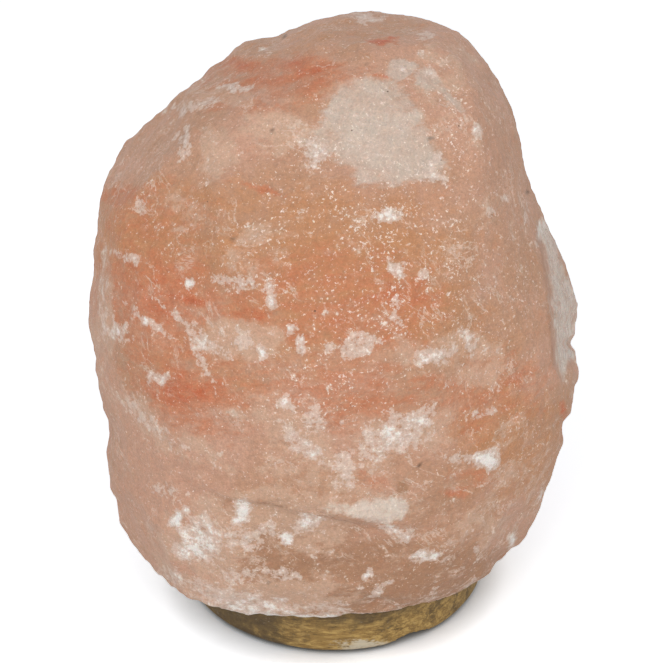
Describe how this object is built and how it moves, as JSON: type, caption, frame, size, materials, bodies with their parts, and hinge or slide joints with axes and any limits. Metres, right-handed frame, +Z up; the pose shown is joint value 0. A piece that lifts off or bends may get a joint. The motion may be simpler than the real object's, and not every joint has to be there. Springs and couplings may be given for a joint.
{
  "type": "salt crystal lamp",
  "caption": "Rock salt lamp: a hewn pink salt block on a round wooden base, with a clip-in holder and a small screw-in bulb in its drilled hollow.",
  "frame": {"origin": "on the table, under the middle of the round base, which is also the middle of the whole lamp's box", "axes": "+Z up, with -Y towards the viewer of the picture and +X to the viewer's right; the cord leaves at the back, along +Y"},
  "size_m": [0.1872, 0.1671, 0.228],
  "materials": {
    "rock_salt": "matte",
    "oiled_wood": "satin",
    "rubber": "matte",
    "zinc_steel": "satin",
    "spring_steel": "satin",
    "nylon": "matte",
    "black_plastic": "satin",
    "white_ceramic": "satin",
    "brass": "satin",
    "solder": "satin",
    "black_glass": "gloss",
    "nickel": "satin",
    "clear_glass": "gloss",
    "cement": "matte",
    "tungsten": "satin"
  },
  "bodies": {
    "lamp": {"salt_crystal": "rock_salt", "wood_base": "oiled_wood", "foot_pads": "rubber", "base_screws": "zinc_steel", "wall_plugs": "nylon"},
    "holder": {"cord_nipple": "zinc_steel", "lock_nut": "zinc_steel", "clip_spring": "spring_steel", "holder_cap": "black_plastic", "holder_shell": "black_plastic", "holder_core": "white_ceramic", "screw_sleeve": "brass", "contact_spring": "spring_steel", "live_terminal": "brass", "neutral_terminal": "brass", "terminal_screws": "zinc_steel"},
    "plunger": {"contact_plunger": "brass"},
    "bulb_tip": {"bulb_contact": "solder"},
    "bulb": {"bulb_insulator": "black_glass", "bulb_cap": "nickel", "bulb_glass": "clear_glass", "bulb_cement": "cement", "bulb_stem": "clear_glass", "lead_wires": "nickel", "filament": "tungsten", "filament_support": "tungsten"}
  },
  "joints": [
    {"name": "holder_pull", "type": "slide", "parent": "lamp", "child": "holder", "axis": [0, 0, 1], "range_m": [-0.105, 0]},
    {"name": "bulb_rise", "type": "slide", "parent": "holder", "child": "bulb_tip", "axis": [0, 0, 1], "range_m": [0, 0.0113]},
    {"name": "bulb_turn", "type": "hinge", "parent": "bulb_tip", "child": "bulb", "pos_m": [0, 0, 0.06], "axis": [0, 0, 1], "range_deg": [0, 1440]},
    {"name": "plunger_travel", "type": "slide", "parent": "holder", "child": "plunger", "axis": [0, 0, 1], "range_m": [0, 0.0015], "deforming": ["contact_spring"]}
  ],
  "couplings": [
    {"joint": "bulb_rise", "follows": "bulb_turn", "m_per_rad": 0.00044882},
    {"joint": "plunger_travel", "follows": "bulb_turn", "m_per_rad": 0.000059623}
  ]
}
